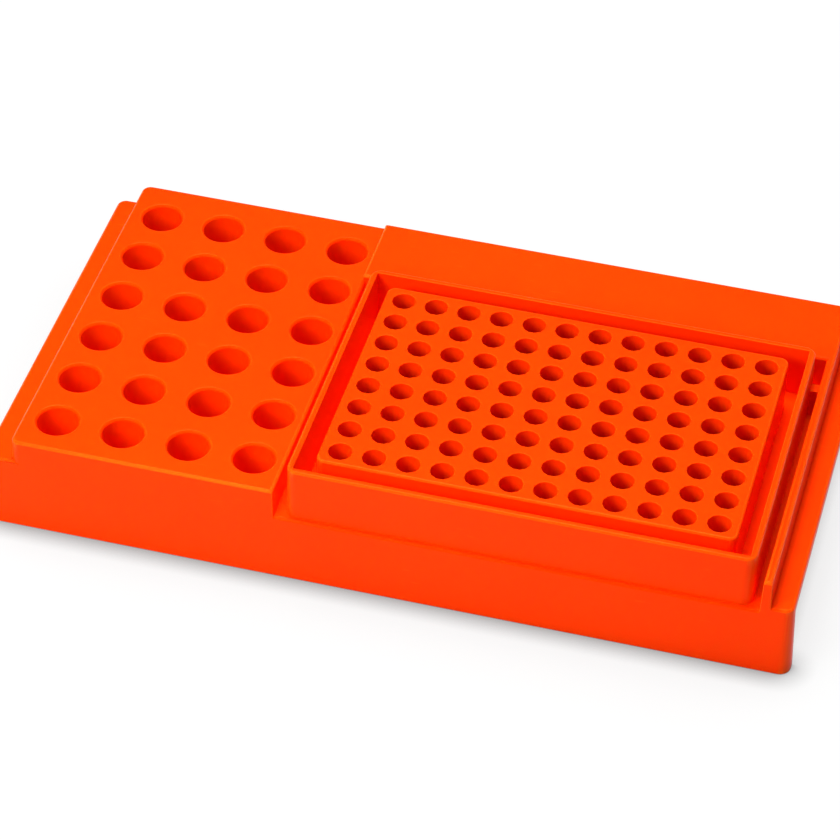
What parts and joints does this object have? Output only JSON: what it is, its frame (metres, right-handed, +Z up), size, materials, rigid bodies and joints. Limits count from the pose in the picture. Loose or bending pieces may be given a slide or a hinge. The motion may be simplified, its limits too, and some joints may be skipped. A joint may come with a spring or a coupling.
{
  "type": "tube rack",
  "caption": "Flat bench rack with round sockets for large microtubes in a low deck beside a raised, moated block of small round wells.",
  "frame": {"origin": "centre of the rectangle that the rack stands on, at the table", "axes": "+X to the right along the long side, +Y to the back, +Z up"},
  "size_m": [0.216, 0.1152, 0.0353],
  "materials": {
    "orange_plastic": "satin moulded polypropylene"
  },
  "bodies": {
    "root": {"rack_body": "orange_plastic"}
  },
  "joints": []
}
